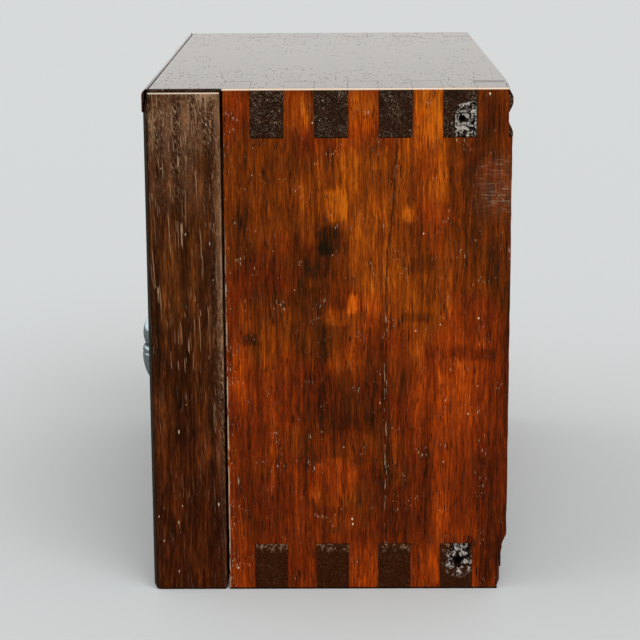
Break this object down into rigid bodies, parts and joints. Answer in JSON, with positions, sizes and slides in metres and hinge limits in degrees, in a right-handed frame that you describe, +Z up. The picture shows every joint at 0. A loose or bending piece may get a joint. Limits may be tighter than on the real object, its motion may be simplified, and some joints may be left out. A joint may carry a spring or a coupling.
{
  "type": "cabinet box",
  "caption": "Small free-standing cabinet box of finger-jointed boards with eased front posts and carved panel doors that swing on hidden pivot pins, with metal drop pulls.",
  "frame": {"origin": "middle of the foot, on the surface that the box stands on", "axes": "+Z up, the front with its doors faces -Y, +X along the length to the right-hand end"},
  "size_m": [0.228, 0.146, 0.19],
  "materials": {
    "dark_wood": "worn oil and wax polish",
    "red_wood": "glossy shellac",
    "inner_wood": "bare planed wood",
    "filler": "dusty filler",
    "white_metal": "polished white metal"
  },
  "bodies": {
    "case": {"top_board": "dark_wood", "bottom_board": "dark_wood", "back_panel": "inner_wood", "shelf": "inner_wood", "upper_door_stop": "inner_wood", "lower_door_stop": "inner_wood", "right_side_board": "red_wood", "right_front_post": "dark_wood", "right_shelf_cleat": "inner_wood", "right_upper_groove_plug": "filler", "right_lower_groove_plug": "filler", "left_side_board": "red_wood", "left_front_post": "dark_wood", "left_shelf_cleat": "inner_wood", "left_upper_groove_plug": "filler", "left_lower_groove_plug": "filler"},
    "right_door": {"right_hinge_stile": "dark_wood", "right_lock_stile": "dark_wood", "right_door_top_rail": "dark_wood", "right_door_bottom_rail": "dark_wood", "right_carved_panel": "red_wood", "right_upper_pivot_pin": "white_metal", "right_lower_pivot_pin": "white_metal", "right_lock_plate": "white_metal", "right_plate_tack_1": "white_metal", "right_plate_tack_2": "white_metal", "right_plate_tack_3": "white_metal", "right_eye_pin": "white_metal"},
    "left_door": {"left_hinge_stile": "dark_wood", "left_lock_stile": "dark_wood", "left_door_top_rail": "dark_wood", "left_door_bottom_rail": "dark_wood", "left_carved_panel": "red_wood", "left_upper_pivot_pin": "white_metal", "left_lower_pivot_pin": "white_metal", "left_lock_plate": "white_metal", "left_plate_tack_1": "white_metal", "left_plate_tack_2": "white_metal", "left_plate_tack_3": "white_metal", "left_eye_pin": "white_metal"},
    "right_pull": {"right_drop_pull": "white_metal"},
    "left_pull": {"left_drop_pull": "white_metal"}
  },
  "joints": [
    {"name": "right_door_swing", "type": "hinge", "parent": "case", "child": "right_door", "pos_m": [0.0842, -0.0585, 0.095], "axis": [0, 0, 1], "range_deg": [0, 95]},
    {"name": "left_door_swing", "type": "hinge", "parent": "case", "child": "left_door", "pos_m": [-0.0842, -0.0585, 0.095], "axis": [0, 0, -1], "range_deg": [0, 95]},
    {"name": "right_pull_swing", "type": "hinge", "parent": "right_door", "child": "right_pull", "pos_m": [0.0095, -0.0728, 0.0891], "axis": [-1, 0, 0], "range_deg": [0, 85]},
    {"name": "left_pull_swing", "type": "hinge", "parent": "left_door", "child": "left_pull", "pos_m": [-0.0095, -0.0728, 0.0891], "axis": [-1, 0, 0], "range_deg": [0, 85]}
  ]
}
